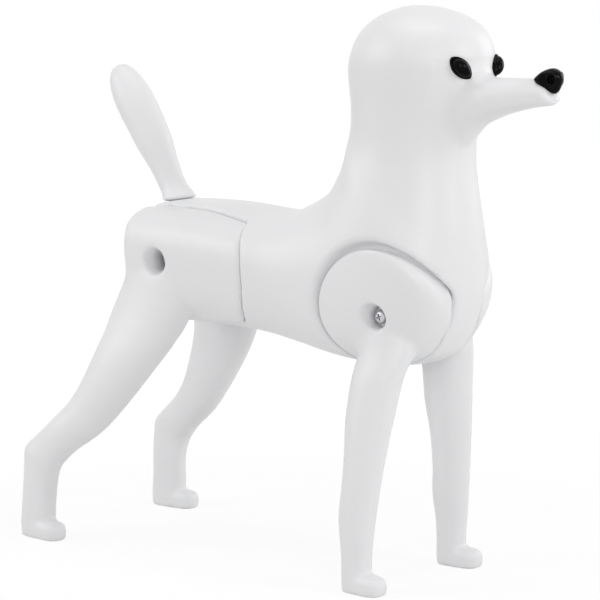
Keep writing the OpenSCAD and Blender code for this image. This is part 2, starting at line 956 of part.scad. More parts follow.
module threaded_inserts() {
  color("goldenrod")
    at_each_pivot()
      tube(insert_d / 2, screw_d / 2 + slip, boss_l - insert_l, boss_l);
}

module dowels() {
  color("gainsboro")
    at_dowels()
      bar(dowel_d / 2, -dowel_l / 2, dowel_l / 2);
}

body_shell_right();
body_shell_left();
front_leg_right();
front_leg_left();
hind_leg_right();
hind_leg_left();
tail();
tail_peg();
tail_bush();
eye_right();
eye_left();
eye_retainer_right();
eye_retainer_left();
nose();
shoulder_screws();
hip_screws();
flat_washers();
spring_washers();
threaded_inserts();
dowels();
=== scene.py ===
import math

import bmesh
import bpy
from mathutils import Matrix, Vector


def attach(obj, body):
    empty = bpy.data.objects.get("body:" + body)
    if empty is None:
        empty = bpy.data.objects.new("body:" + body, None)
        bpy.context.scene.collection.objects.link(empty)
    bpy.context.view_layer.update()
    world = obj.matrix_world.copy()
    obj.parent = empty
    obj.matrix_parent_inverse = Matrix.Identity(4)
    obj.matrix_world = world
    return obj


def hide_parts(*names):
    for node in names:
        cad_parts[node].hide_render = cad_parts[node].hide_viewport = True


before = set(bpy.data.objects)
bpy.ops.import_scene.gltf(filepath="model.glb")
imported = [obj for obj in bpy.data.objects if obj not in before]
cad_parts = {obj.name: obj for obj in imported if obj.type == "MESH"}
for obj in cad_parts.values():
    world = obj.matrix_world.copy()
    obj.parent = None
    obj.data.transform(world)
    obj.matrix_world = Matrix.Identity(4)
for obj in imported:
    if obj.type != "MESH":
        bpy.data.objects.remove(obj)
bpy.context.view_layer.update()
mm = 0.001
far = 90  # past the dog's side
mergeGap = 1e-6
sharpAngle = 40


# making and joining forms

def pieceFrom(mesh, name):
    bmesh.ops.remove_doubles(mesh, verts=mesh.verts, dist=mergeGap)
    bmesh.ops.recalc_face_normals(mesh, faces=mesh.faces)
    data = bpy.data.meshes.new(name)
    mesh.to_mesh(data)
    mesh.free()
    piece = bpy.data.objects.new(name, data)
    bpy.context.scene.collection.objects.link(piece)
    return piece


def settle(piece):  # the modifiers become the mesh
    shown = piece.evaluated_get(bpy.context.evaluated_depsgraph_get())
    data = bpy.data.meshes.new_from_object(shown)
    piece.modifiers.clear()
    piece.data = data
    return piece


def carve(piece, tools, kind="DIFFERENCE"):
    for tool in tools:  # one by one and merged, so that each cut meets a closed form
        step = piece.modifiers.new("carve", "BOOLEAN")
        step.operation, step.object, step.solver = kind, tool, "EXACT"
        settle(piece)
        mesh = bmesh.new()
        mesh.from_mesh(piece.data)
        bmesh.ops.remove_doubles(mesh, verts=mesh.verts, dist=mergeGap)
        mesh.to_mesh(piece.data)
        mesh.free()
        bpy.data.objects.remove(tool)
    return piece


def gather(name, parts):
    mesh = bmesh.new()
    for part in parts:
        mesh.from_mesh(part.data)
        bpy.data.objects.remove(part)
    return pieceFrom(mesh, name)


def weld(name, parts, voxel):  # one closed skin over all the parts
    piece = gather(name, parts)
    step = piece.modifiers.new("weld", "REMESH")
    step.mode, step.voxel_size = "VOXEL", voxel * mm
    return settle(piece)


def soften(piece, rounds, where=None):
    mesh = bmesh.new()
    mesh.from_mesh(piece.data)
    chosen = [v for v in mesh.verts if where is None or where(v.co / mm)]
    for turn in range(rounds):
        bmesh.ops.smooth_vert(mesh, verts=chosen, factor=0.5, use_axis_x=True, use_axis_y=True,
                              use_axis_z=True)
    mesh.to_mesh(piece.data)
    mesh.free()
    return piece


def trim(piece, point, normal):  # keeps the side that the normal points to
    mesh = bmesh.new()
    mesh.from_mesh(piece.data)
    everything = mesh.verts[:] + mesh.edges[:] + mesh.faces[:]
    bmesh.ops.bisect_plane(mesh, geom=everything, plane_co=Vector(point) * mm, plane_no=normal,
                           clear_inner=True)
    rim = [e for e in mesh.edges if e.is_boundary]
    bmesh.ops.holes_fill(mesh, edges=rim, sides=0)
    bmesh.ops.triangulate(mesh, faces=[f for f in mesh.faces if len(f.verts) > 4])
    bmesh.ops.recalc_face_normals(mesh, faces=mesh.faces)
    mesh.to_mesh(piece.data)
    mesh.free()
    return piece


def copyOf(piece, name, flipped=False):
    mesh = bmesh.new()
    mesh.from_mesh(piece.data)
    if flipped:
        bmesh.ops.scale(mesh, vec=(1, -1, 1), verts=mesh.verts)
    return pieceFrom(mesh, name)


# a section: top x and z, low x and z, y, half width, squareness, how much wider it is above
def ring(mesh, row, sides):
    topX, topZ, lowX, lowZ, y, half, square, taper = row
    verts = bmesh.ops.create_circle(mesh, segments=sides, radius=1)["verts"]
    for v in verts:
        u = math.copysign(abs(v.co.x) ** (2 / square), v.co.x)
        w = math.copysign(abs(v.co.y) ** (2 / square), v.co.y) * (1 + taper * u)
        x = (topX + lowX) / 2 + (topX - lowX) / 2 * u
        z = (topZ + lowZ) / 2 + (topZ - lowZ) / 2 * u
        v.co = Vector((x, y + half * w, z)) * mm
    return list(dict.fromkeys(e for v in verts for e in v.link_edges))


def eased(rows, steps):  # a smooth curve through the rows
    path = []
    for i in range(len(rows) - 1):
        around = rows[max(i - 1, 0)], rows[i], rows[i + 1], rows[min(i + 2, len(rows) - 1)]
        for t in (s / steps for s in range(steps)):
            path.append([
                b + 0.5 * t * (c - a + t * (2 * a - 5 * b + 4 * c - d + t * (3 * (b - c) + d - a)))
                for a, b, c, d in zip(*around)
            ])
    return path + [list(rows[-1])]


def loft(name, rows, sides=64, steps=5):
    mesh = bmesh.new()
    before = None
    for row in eased(rows, steps):
        edges = ring(mesh, row, sides)
        if before:
            bmesh.ops.bridge_loops(mesh, edges=before + edges)
        before = edges
    bmesh.ops.holes_fill(mesh, edges=[e for e in mesh.edges if e.is_boundary], sides=0)
    return pieceFrom(mesh, name)


# a turned form: radius and height along its axis
def turned(name, profile, place, steps=72):
    mesh = bmesh.new()
    verts = [mesh.verts.new((r * mm, 0, h * mm)) for r, h in profile]
    edges = [mesh.edges.new(pair) for pair in zip(verts, verts[1:])]
    bmesh.ops.spin(mesh, geom=verts + edges, axis=(0, 0, 1), cent=(0, 0, 0), angle=2 * math.pi,
                   steps=steps, use_merge=True)
    bmesh.ops.transform(mesh, matrix=place, verts=mesh.verts)
    return pieceFrom(mesh, name)


def bar(name, radius, low, high, place, steps=128):
    return turned(name, [(0, low), (radius, low), (radius, high), (0, high)], place, steps)


def onPivot(x, z, side):  # height runs out from the dog's middle
    turn = Matrix.Rotation(math.radians(-90 * side), 4, "X")
    return Matrix.Translation(Vector((x, 0, z)) * mm) @ turn


# trunk, neck and head

trunk = {
    "backZ": 253.5, "bellyZ": 166, "chestZ": 148, "chestX": 145.5, "rumpX": 139.5, "rumpRound": 22,
    "width": 102, "napeX": 47, "throatX": 138, "neckWidth": 80, "headTopZ": 400, "headWidth": 94,
    "browX": 152.5, "jawZ": 318, "voxel": 1.3,
}


def rumpRows(rounding, square):
    t = trunk
    rows = []
    for angle in (0, 25, 55, 90):
        drawn = rounding * (1 - math.sin(math.radians(angle)))
        x = -t["rumpX"] + rounding * (1 - math.cos(math.radians(angle)))
        top, low = t["backZ"] - drawn - 0.5, t["bellyZ"] + drawn
        rows.append((x, top, x, low, 0, t["width"] / 2 - drawn, square, 0.13))
    return rows


def chestRows():
    t = trunk
    back, chest, half, neck = t["backZ"], t["chestZ"], t["width"] / 2, t["neckWidth"] / 2
    nape, front, hip = t["napeX"], t["chestX"], -hind["hipX"]

    def napeZ(share):
        return back + share * (t["headTopZ"] - back)

    def throatZ(share):
        return chest + share * (t["jawZ"] - chest)

    return [
        (hip + 30, back + 0.5, hip + 30, t["bellyZ"], 0, half, 2.75, 0.19),
        (hip + 76, back - 2, hip + 78, t["bellyZ"] - 2, 0, half - 0.5, 2.6, 0.14),
        (nape - 49, back + 0.7, front - 138, chest + 11, 0, half - 0.5, 2.3, 0.05),
        (nape - 28, back + 9.5, front - 100, chest + 5, 0, half, 2.35, 0),
        (nape - 11.5, napeZ(0.137), front - 60, throatZ(0.02), 0, half + 0.5, 2.35, 0),
        (nape - 3, napeZ(0.218), front - 26, throatZ(0.063), 0, half + 0.5, 2.45, 0),
        (nape + 1.5, napeZ(0.3), front - 7.5, throatZ(0.186), 0, half - 1, 2.4, 0),
        (nape + 3, napeZ(0.375), front, throatZ(0.341), 0, (half + neck) / 2 + 2, 2.35, 0),
        (nape + 3, napeZ(0.444), front - 1, throatZ(0.518), 0, neck + 2.5, 2.2, 0),
        (nape + 2.5, napeZ(0.505), t["throatX"] + 3, throatZ(0.694), 0, neck, 2.1, 0),
        (nape + 2, napeZ(0.563), t["throatX"], throatZ(0.847), 0, neck, 2.05, 0),
        (nape + 1, napeZ(0.625), t["throatX"] + 2, t["jawZ"], 0, neck + 2, 2, 0),
    ]


def headRows():
    t = trunk
    nape, brow, top, half = t["napeX"], t["browX"], t["headTopZ"], t["headWidth"] / 2
    return [
        (nape + 0.5, top - 45, brow - 3, top - 56, 0, half - 1.5, 2, 0),
        (nape + 3, top - 33, brow, top - 36, 0, half, 2, 0),
        (nape + 10, top - 19, brow - 6, top - 18, 0, half - 5, 2, 0),
        (nape + 22, top - 8.5, brow - 20, top - 7.5, 0, half - 16, 2, 0),
        (nape + 37, top - 2, brow - 37, top - 1.8, 0, half - 31, 2, 0),
        (nape + 47, top, brow - 50, top, 0, 4, 2, 0),
    ]


muzzle = {"bridgeZ": 354, "lowZ": 336, "tipX": 212, "width": 25}


def muzzleRows():
    m, throat, jaw = muzzle, trunk["throatX"], trunk["jawZ"]
    bridge, low, tip, half = m["bridgeZ"], m["lowZ"], m["tipX"], m["width"] / 2
    return [
        (throat - 34, bridge + 2, throat - 34, jaw - 4, 0, 16, 2, 0.2),
        (throat - 11, bridge + 3, throat - 8, jaw - 9, 0, 18, 2, 0.2),
        (throat + 1, bridge + 3, throat + 2, jaw - 11, 0, 19, 2.1, 0.2),
        (throat + 8, bridge + 2, throat + 8, jaw - 4, 0, 19.5, 2.1, 0.2),
        (throat + 14, bridge + 0.5, throat + 14, jaw + 2, 0, 19, 2.1, 0.15),
        (throat + 22, bridge - 0.5, throat + 22, jaw + 6, 0, half + 5.5, 2.1, 0.1),
        (tip - 38, bridge - 0.5, tip - 38, low - 6.5, 0, half + 3.5, 2.2, 0.05),
        (tip - 16, bridge, tip - 16, low - 1.2, 0, half, 2.3, 0),
        (tip - 9, bridge - 1, tip - 6, low, 0, half - 0.8, 2.2, 0),
        (tip - 5.5, bridge - 3.5, tip - 1.5, low + 1.8, 0, half - 3, 2.1, 0),
        (tip - 4.5, bridge - 7, tip, low + 4.5, 0, half - 6.5, 2, 0),
    ]


# eyes and nose

eye = {
    "long": 9.8, "short": 5.7, "domeLong": 8.2, "domeShort": 4.9, "height": 4.9, "rim": 1.6,
    "gap": 39, "x": 148.2, "z": 360, "turn": 30, "slant": 44, "bend": 70,
    "seatGap": 0.15, "seatDepth": 3.8, "seatTop": 12, "seatBend": 1000,
}


def almond(mesh, long, short, height, power, sides=72):
    verts = bmesh.ops.create_circle(mesh, segments=sides, radius=1)["verts"]
    for v in verts:
        y = math.copysign(abs(v.co.y) ** power, v.co.y)
        v.co = Vector((long * v.co.x, short * y, height)) * mm
    return list(dict.fromkeys(e for v in verts for e in v.link_edges))


def almondForm(name, rings, side, bend):
    mesh = bmesh.new()
    before = None
    for row in rings:
        edges = almond(mesh, *row)
        if before:
            bmesh.ops.bridge_loops(mesh, edges=before + edges)
        before = edges
    bmesh.ops.holes_fill(mesh, edges=[x for x in mesh.edges if x.is_boundary], sides=0)
    for v in mesh.verts:  # follows the brow's roundness
        v.co.z -= (v.co.x ** 2 + v.co.y ** 2) / (2 * bend * mm)
    e = eye
    place = Matrix.Translation(Vector((e["x"], e["gap"] / 2, e["z"])) * mm)
    for turn, axis in ((e["turn"], "Z"), (90, "Y"), (e["slant"] - 90, "Z")):
        place = place @ Matrix.Rotation(math.radians(turn), 4, axis)
    bmesh.ops.transform(mesh, matrix=Matrix.Diagonal((1, side, 1, 1)) @ place, verts=mesh.verts)
    return pieceFrom(mesh, name)


def makeEye(name, side):
    e = eye
    long, short = e["long"], e["short"]
    rings = [  # half length, half width, height and how pointed the ends are
        (long - 0.3, short - 0.3, -2.5, 1.3),
        (long, short, 0.6, 1.3),
        (long - 0.1, short - 0.1, 1.1, 1.3),
        (long - 0.35, short - 0.3, 1.45, 1.3),
        (long - 0.8, short - 0.5, e["rim"], 1.28),
        (e["domeLong"] + 0.3, e["domeShort"] + 0.1, 1.3, 1.2),
    ]
    for angle in (0, 8, 16, 26, 36, 46, 56, 65, 74, 82, 87):
        c, up = math.cos(math.radians(angle)), math.sin(math.radians(angle))
        rings.append((e["domeLong"] * c, e["domeShort"] * c, 1.2 + (e["height"] - 0.4) * up, 1.2))
    return almondForm(name, rings, side, e["bend"])


def eyeSeat(side):
    e = eye
    long, short = e["long"] + e["seatGap"], e["short"] + e["seatGap"]
    rings = [(long, short, -e["seatDepth"], 1.3), (long, short, e["seatTop"], 1.3)]
    return almondForm("eyeSeat", rings, side, e["seatBend"])


eyeRight = makeEye("eyeRight", -1)
eyeLeft = makeEye("eyeLeft", 1)

nose = {"tipX": 216, "z": 353, "seatGap": 0.15, "voxel": 0.3}
nostril = {
    "place": (211.3, 6.0, 354.2), "turn": 60, "wide": 2.9, "tall": 3.9, "ridge": 0.65,
    "depth": 2.4, "swell": 1.6,
}


def noseForm(name, grow=0):
    tip, z, g = nose["tipX"], nose["z"], grow
    rows = [  # each section reaches down to a narrow tip
        (tip - 16.5, z + 3.4 + g, tip - 15, z - 3 - g, 0, 9.4 + g, 2, 0.1),
        (tip - 12.5, z + 6.6 + g, tip - 10.5, z - 7 - g, 0, 10.3 + g, 2, 0.3),
        (tip - 7.5, z + 8.3 + g, tip - 6.5, z - 8.4 - g, 0, 8.8 + g, 2.05, 0.34),
        (tip - 3.6, z + 7 + g, tip - 3.8, z - 8 - g, 0, 6.3 + g, 2.1, 0.34),
        (tip - 1.2, z + 5 + g, tip - 2, z - 5.5 - g, 0, 4 + g, 2, 0.3),
        (tip, z + 2.2, tip - 0.4, z - 1.5, 0, 1.6, 2, 0),
    ]
    return loft(name, rows, 48, 6)


def makeNose():
    n = nostril
    place = Matrix.Translation(Vector(n["place"]) * mm)
    for turn, axis in ((n["turn"], "Z"), (90, "Y"), (90, "Z")):  # stands out from the nose's side
        place = place @ Matrix.Rotation(math.radians(turn), 4, axis)
    place = place @ Matrix.Diagonal((n["wide"], n["tall"], 1, 1))
    around = [math.radians(30 * i) for i in range(13)]
    quarter = [math.radians(15 * i) for i in range(7)]
    lip = [(1 + n["ridge"] / n["wide"] * math.cos(a), n["ridge"] * math.sin(a)) for a in around]
    pit = [(0.76 * math.sin(a), -n["depth"] * math.cos(a)) for a in quarter] + [(0.8, 2), (0, 2)]
    swelling = [(0.36 * math.sin(2 * a), -n["depth"] - n["swell"] * math.cos(2 * a)) for a in quarter]
    pits, parts = [], [noseForm("noseForm")]
    for profile, group in ((pit, pits), (lip, parts), (swelling, parts)):
        piece = turned("nostril", profile, place, 48)
        group += [piece, copyOf(piece, "farNostril", flipped=True)]
    carve(parts[0], pits)
    return soften(weld("nosePiece", parts, nose["voxel"]), 4)


nosePiece = makeNose()
print("eyes and nose", len(eyeRight.data.polygons), len(nosePiece.data.polygons))


# pivots: boss, web, bore and the recess for the screw
pivot = {
    "bossR": 9, "bossL": 14, "bossGap": 0.05, "faceGap": 0.4, "webIn": 14.4, "webOut": 19.4,
    "screwR": 2.9, "driverR": 10.2, "neckR": 7.6, "flare": 8, "insertR": 4.02, "insertL": 11,
}
fore = {
    "pivotX": 96.5, "pivotZ": 190, "radius": 46.48, "recess": 46.5, "floorY": 16, "mouthY": 49.5,
    "heelX": 78, "footY": 54, "footL": 34, "voxel": 1.25,
    "rimSteps": ((1.2, 9), (2.4, 5), (3.6, 1.6)), "rimShift": (-1.6, 3.2),
    "discTurn": 40, "discRise": 4, "discSink": 2.2, "discOut": 2, "discDrift": (0.94, 0.34),
    "discSteps": ((5, 8, 0), (5, 6.4, 1.2), (6, 5.6, 3.4)),
}
hind = {
    "hipX": 102, "pivotZ": 213, "radius": 80.5, "recess": 81, "floorY": 13, "mouthY": 52.5,
    "dishY": 15, "rimY": 32, "hubR": 22, "hubRecess": 23, "plateRound": 14, "plateStep": 2,
    "heelX": 217, "hockZ": 66, "footY": 72, "footL": 40, "voxel": 1.3,
}
foot = {"width": 18.5, "height": 14, "turn": 4, "ankle": 9}
tailSize = {
    "x": 123, "z": 252.4, "lean": 33, "pegLean": 10, "footR": 12.5, "radius": 14.5, "length": 114,
    "seatGap": 5, "lift": 0.25, "bushR": 6.55, "collarR": 8.75, "collarT": 1.6,
    "pegL": 20, "pegR": 4.02, "pegGrip": 14,
}


def onTail():
    t = tailSize
    place = Matrix.Translation(Vector((-t["x"], 0, t["z"])) * mm)
    return place @ Matrix.Rotation(math.radians(-t["pegLean"]), 4, "Y")


def drawnIn(row, inset):
    topX, topZ, lowX, lowZ, y, half, square, taper = row
    share = inset / math.hypot(topX - lowX, topZ - lowZ)
    x, z = (topX - lowX) * share, (topZ - lowZ) * share
    return topX - x, topZ - z, lowX + x, lowZ + z, y, max(half - inset, 0.5), square, taper


def trunkForm(name, inset=0):
    rows = rumpRows(trunk["rumpRound"], 3) + chestRows() + headRows()
    return loft(name, [drawnIn(row, inset) for row in rows])


def fromPivot(p, x, z):  # distance from a pivot's axis
    return math.hypot(p.x - x, p.z - z)


def within(p, left, right, low, high):  # a box, seen from the side
    return left < p.x < right and low < p.z < high


def hipDish(name, radius, shift, side):  # the dished side of the saddle
    low, high = hind["dishY"] + shift, hind["rimY"] + shift
    profile = [(0, low), (radius, high), (radius, far), (0, far)]
    return turned(name, profile, onPivot(-hind["hipX"], hind["pivotZ"], side), 192)


def boss(name, x, z, floorY, side):
    bossR, insertR = pivot["bossR"], pivot["insertR"]
    low, top = floorY - 1.5, floorY + pivot["bossL"]
    hole = top - pivot["insertL"]
    profile = [(0, low), (bossR, low), (bossR, top - 0.5), (bossR - 0.5, top), (insertR, top),
               (insertR, hole), (0, hole)]
    return turned(name, profile, onPivot(x, z, side))


def softenBody(body):
    x, z, edge = fore["pivotX"], fore["pivotZ"], fore["recess"]
    throat, jaw, bridge = trunk["throatX"], trunk["jawZ"], muzzle["bridgeZ"]

    def rimBehind(p):
        return edge - 7 < fromPivot(p, x, z) < edge + 9 and abs(p.y) > 20 and p.x < x + 8

    def rimAhead(p):
        return edge - 7 < fromPivot(p, x, z) < edge + 12 and abs(p.y) > 3 and p.x > x + 36

    def muzzleRoot(p):
        return within(p, throat - 16, throat + 24, jaw - 24, bridge + 12) and abs(p.y) < 34

    def underEyes(p):
        return muzzleRoot(p) and p.z > bridge - 18

    def cheeks(p):
        return within(p, throat - 22, throat + 20, jaw - 14, bridge) and 9 < abs(p.y) < 34

    soften(body, 8)
    places = ((10, rimBehind), (14, rimAhead), (12, muzzleRoot), (90, underEyes), (40, cheeks))
    for rounds, where in places:
        soften(body, rounds, where)


def makeBody():
    body = trunkForm("trunkForm")
    tools, recesses = [], []
    for side in (-1, 1):
        shoulder = onPivot(fore["pivotX"], fore["pivotZ"], side)
        hip = onPivot(-hind["hipX"], hind["pivotZ"], side)
        recesses.append(bar("shoulderRecess", fore["recess"], fore["floorY"], far, shoulder))
        tools.append(hipDish("hipRecess", hind["recess"], 0, side))
        tools.append(bar("hubRecess", hind["hubRecess"], hind["floorY"], far, hip))
    shiftX, shiftZ = fore["rimShift"]
    rimPlace = onPivot(fore["pivotX"] + shiftX, fore["pivotZ"] + shiftZ, 1)
    for grow, depth in fore["rimSteps"]:  # rolled rim round each shoulder, wider behind and above
        rim = bar("rim", fore["recess"] + grow, fore["floorY"], far, rimPlace)
        carve(rim, [trunkForm("rimFloor", depth)])
        tools += [rim, copyOf(rim, "farRim", flipped=True)]
    carve(body, tools)
    t = tailSize
    tailPad = bar("tailPad", t["footR"] + 0.5, -8, 1.5, onTail())
    body = weld("body", [body, loft("muzzleForm", muzzleRows()), tailPad], trunk["voxel"])
    softenBody(body)
    end, collar = -t["pegL"] - 1, -t["collarT"]
    bush = [(0, end), (t["bushR"], end), (t["bushR"], collar), (t["collarR"], collar),
            (t["collarR"], far), (0, far)]
    seats = [turned("bushSeat", bush, onTail()), noseForm("noseSeat", nose["seatGap"])]
    seats += [eyeSeat(-1), eyeSeat(1)]
    seats.append(bar("tailSeat", t["footR"] + t["seatGap"], -t["lift"], far, onTail()))
    return carve(body, recesses + seats)


def halfOf(body, name, side):
    half = trim(copyOf(body, name), (0, 0, 0), (0, side, 0))
    parts = [half]
    parts.append(boss("shoulderBoss", fore["pivotX"], fore["pivotZ"], fore["floorY"], side))
    parts.append(boss("hipBoss", -hind["hipX"], hind["pivotZ"], hind["floorY"], side))
    return gather(name, parts)


body = makeBody()
bodyRight = halfOf(body, "bodyRight", -1)
bodyLeft = halfOf(body, "bodyLeft", 1)
bpy.data.objects.remove(body)
print("body halves", len(bodyRight.data.polygons), len(bodyLeft.data.polygons))


# legs, made on the left and flipped to the right

def footForm(heelX, footY, length):
    w, h = foot["width"] / 2, foot["height"]
    rows = [
        (6, h - 1.5, 6, -3, 0, w - 1, 3.2, 0),
        (12, h, 12, -3, 0, w, 3.4, 0),
        (length - 9, h - 0.6, length - 9, -3, 0, w, 3.4, 0),
        (length - 4, h - 1.2, length - 4, -2, 0, w - 1.2, 3.2, 0),
        (length - 1.4, h - 2.6, length - 1.4, -0.5, 0, w - 3, 3, 0),
        (length, h - 5, length, 2, 0, w - 5, 2.6, 0),
    ]
    form = loft("footForm", rows, 40)
    turn = Matrix.Rotation(math.radians(foot["turn"]), 4, "Z")
    toPlace = Matrix.Translation(Vector((heelX + w, footY, 0)) * mm)
    toCentre = Matrix.Translation(Vector((-w, 0, 0)) * mm)
    form.data.transform(toPlace @ turn @ toCentre)
    return trim(form, (0, 0, 0), (0, 0, 1))


def bored(leg, x, z, size, cuts=()):  # bore, web hole and a flared recess for the screw
    p, floorY, mouthY = pivot, size["floorY"], size["mouthY"]
    neck, screwR, driver, bore = p["neckR"], p["screwR"], p["driverR"], p["bossR"] + p["bossGap"]
    low, inside, web = floorY - 3, floorY + p["webIn"], floorY + p["webOut"]
    flare, wide = mouthY - p["flare"], driver + 0.3
    place = onPivot(x, z, 1)
    funnel = [(0, web), (neck, web), (neck, flare), (wide, mouthY), (wide, far), (0, far)]
    carve(leg, [turned("driver", funnel, place)])
    leg = weld("bored", [leg], size["voxel"])
    soften(leg, 6, lambda q: fromPivot(q, x, z) < driver + 4 and q.y > mouthY - 6)
    profile = [(0, low), (bore, low), (bore, inside), (screwR, inside), (screwR, web), (neck, web),
               (neck, flare), (driver, mouthY), (driver, far), (0, far)]
    return carve(leg, [*cuts, turned("bores", profile, place)])


def softenLeg(leg):  # the foot stays squarer
    soften(leg, 3)
    soften(leg, 6, lambda p: p.z > foot["height"] + foot["ankle"])


def leanDisc(disc, x, z):  # stands out in front and sinks in behind
    f, turn = fore, math.radians(fore["discTurn"])
    ahead, up = math.cos(turn), math.sin(turn)
    for v in disc.data.vertices:
        along = ((v.co.x / mm - x) * ahead + (v.co.z / mm - z) * up) / f["radius"]
        along = min(max(along, -1), 1)
        share = along ** 2 * mm
        rise, out = (f["discRise"], f["discOut"]) if along > 0 else (-f["discSink"], 0)
        v.co.y += math.copysign(share, v.co.y) * rise
        v.co.x += share * out


def makeForeLeg():
    x, z, heel, footY = fore["pivotX"], fore["pivotZ"], fore["heelX"], fore["footY"]
    w, radius, place = foot["width"] / 2, fore["radius"], onPivot(x, z, 1)
    driftX, driftZ = fore["discDrift"]
    parts = []
    for grow, drift, depth in fore["discSteps"]:  # its rim rolls off in front
        drifted = onPivot(x - driftX * drift, z - driftZ * drift, 1)
        tool = bar("discForm", radius + grow, fore["floorY"] + pivot["faceGap"], far, drifted)
        disc = trunkForm("disc", depth)
        leanDisc(disc, x, z)
        parts.append(carve(disc, [tool], "INTERSECT"))
    rows = [
        (x + 18, z - 2, x - 18, z - 2, 32, 12, 2, 0),
        (x + 22.5, z - 24, x - 21, z - 26, 34, 14, 2, 0),
        (x + 18, z - 40, x - 22, z - 43, 39.5, 15.5, 2, 0),
        (heel + 32, 122, heel - 4.5, 120, footY - 9.5, 14.6, 2, 0),
        (heel + 28.5, 97, heel - 2.5, 96, footY - 5.5, 13.6, 2, 0),
        (heel + 25.5, 72, heel - 2.5, 72, footY - 2.5, 12.7, 2, 0),
        (heel + 23.5, 52, heel - 4, 53, footY - 1, 12, 2, 0),
        (heel + 22, 36, heel - 2, 36, footY, 10, 2.3, 0),
        (heel + 20.5, 22, heel - 0.5, 22, footY, w, 2.5, 0),
        (heel + 20, 8, heel, 8, footY, w, 2.7, 0),
        (heel + 19, -4, heel + 1, -4, footY, w - 0.5, 2.7, 0),
    ]
    parts.append(trim(loft("limb", rows, 48), (0, 0, 0), (0, 0, 1)))
    parts.append(footForm(heel, footY, fore["footL"]))
    leg = weld("frontLeg", parts, fore["voxel"])
    softenLeg(leg)
    soften(leg, 22, lambda p: fromPivot(p, x, z) > radius - 8 and p.z > z - 30 and abs(p.y) > 24)
    soften(leg, 24, lambda p: z - 64 < p.z < z - 16 and p.y > 30)
    sleeve = bar("sleeve", radius + 24, 5, far, place)  # the disc's edge stays crisp
    carve(sleeve, [bar("sleeveBore", radius, 0, far + 5, place)])
    trim(sleeve, (0, 26, z - 42), (0, -1, 1.25))  # clear of the limb below
    return bored(leg, x, z, fore, [sleeve])


def makeHindLeg():
    x, z, heel, hock = -hind["hipX"], hind["pivotZ"], -hind["heelX"], hind["hockZ"]
    footY, w, inner = hind["footY"], foot["width"] / 2, hind["rimY"] + pivot["faceGap"]
    plate = loft("plate", rumpRows(hind["plateRound"], 3.2) + chestRows())
    plate.data.transform(Matrix.Translation((0, 0, -hind["plateStep"] * mm)))
    carve(plate, [hipDish("plateForm", hind["radius"], pivot["faceGap"], 1)], "INTERSECT")
    hub = bar("hub", hind["hubR"], hind["floorY"] + pivot["faceGap"], inner + 3, onPivot(x, z, 1))
    rows = [
        (x + 22, z + 12, x - 28, z + 16, 40, 9.5, 2, 0),
        (x + 27, z - 14, x - 37, z - 12, 40, 13, 2, 0),
        (x + 21, z - 44, x - 48.5, z - 38, 41.5, 16, 2, 0),
        (x - 4, z - 82, x - 51.5, z - 62, 52, 15.3, 2, 0),
        (heel + 74.5, hock + 22, heel + 46.5, hock + 46, footY - 11, 13.6, 2, 0),
        (heel + 50, hock + 3, heel + 30, hock + 26, footY - 4.5, 12, 2.1, 0),
        (heel + 41, hock - 5, heel + 12, hock + 10, footY - 2.5, 11, 2.2, 0),
        (heel + 35, hock - 12, heel + 4.2, hock + 2.5, footY - 1, 10.5, 2.3, 0),
        (heel + 31.5, hock - 20, heel + 2.8, hock - 7, footY - 1, 10, 2.4, 0),
        (heel + 29.5, hock - 28, heel + 2.2, hock - 21, footY - 1, 10, 2.5, 0),
        (heel + 29, 22, heel + 0.7, 22, footY, w, 2.6, 0),
        (heel + 28, 8, heel, 8, footY, w, 2.8, 0),
        (heel + 27, -4, heel + 1, -4, footY, w - 0.5, 2.8, 0),
    ]
    limb = trim(loft("limb", rows, 48), (0, 0, 0), (0, 0, 1))
    trim(limb, (0, inner, 0), (0, 1, 0))
    leg = weld("hindLeg", [plate, hub, limb, footForm(heel, footY, hind["footL"])], hind["voxel"])
    softenLeg(leg)
    soften(leg, 36, lambda p: within(p, x - 60, x + 46, z - 62, z + 22) and p.y > 38)
    return bored(leg, x, z, hind)


def pairOf(piece, name):
    pair = copyOf(piece, name + "Left"), copyOf(piece, name + "Right", flipped=True)
    bpy.data.objects.remove(piece)
    return pair


frontLegLeft, frontLegRight = pairOf(makeForeLeg(), "frontLeg")
hindLegLeft, hindLegRight = pairOf(makeHindLeg(), "hindLeg")
print("legs", len(frontLegLeft.data.polygons), len(hindLegLeft.data.polygons))


# tail

def makeTail():
    t = tailSize
    lean, peg, length = t["lean"], t["pegLean"], t["length"]
    footR, radius = t["footR"], t["radius"]
    path = [  # along, radius, tilt and drift forwards
        (0, footR - 4.5, peg, 0),
        (0.4, footR - 2.2, peg, 0),
        (1.2, footR - 0.7, peg, 0),
        (2.3, footR, peg, 0),
        (3.6, footR - 0.3, peg + 3, -0.1),
        (7, footR - 1.8, (peg + lean) / 2, -0.6),
        (14, footR - 2.6, lean, -0.8),
        (30, footR - 1.6, lean, 0.3),
        (48, radius - 1.2, lean, 1.1),
        (length - 48, radius - 0.3, lean, 1.1),
        (length - 32, radius, lean, 0.8),
        (length - 18, radius - 1.4, lean, 0.3),
        (length - 8, radius - 4.2, lean, 0),
        (length - 2, radius - 8, lean, 0),
        (length, radius - 11.5, lean, 0),
    ]
    rows = []
    for along, reach, tilt, drift in path:
        x = -t["x"] - along * math.sin(math.radians(lean)) + drift
        z = t["z"] + along * math.cos(math.radians(lean))
        c, s = reach * math.cos(math.radians(tilt)), reach * math.sin(math.radians(tilt))
        rows.append((x - c, z - s, x + c, z + s, 0, reach, 2, 0))
    tail = loft("tailPiece", rows, 96, 8)
    return carve(tail, [bar("pegBore", t["pegR"], -1, t["pegGrip"], onTail(), 64)])


tailPiece = makeTail()
print("tail", len(tailPiece.data.polygons))


# pivot screws

